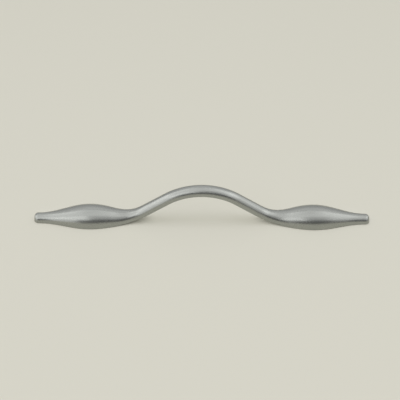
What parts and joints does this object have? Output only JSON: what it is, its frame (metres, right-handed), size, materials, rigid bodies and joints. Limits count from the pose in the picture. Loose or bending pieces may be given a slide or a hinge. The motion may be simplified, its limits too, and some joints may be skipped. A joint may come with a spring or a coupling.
{
  "type": "cabinet bow handle",
  "caption": "Bow handle for a drawer or cabinet door: a half-round bar arched between leaf-shaped feet, which take screws from behind.",
  "frame": {"origin": "midway between the screw holes, on the plane of the drawer front that both feet lie on", "axes": "+X along the handle from foot to foot, +Y across it, +Z out of the drawer front towards the bow"},
  "size_m": [0.192, 0.0166, 0.0257],
  "materials": {
    "satin_nickel": "satin nickel plate on a zinc die casting"
  },
  "bodies": {
    "root": {"handle": "satin_nickel"}
  },
  "joints": []
}
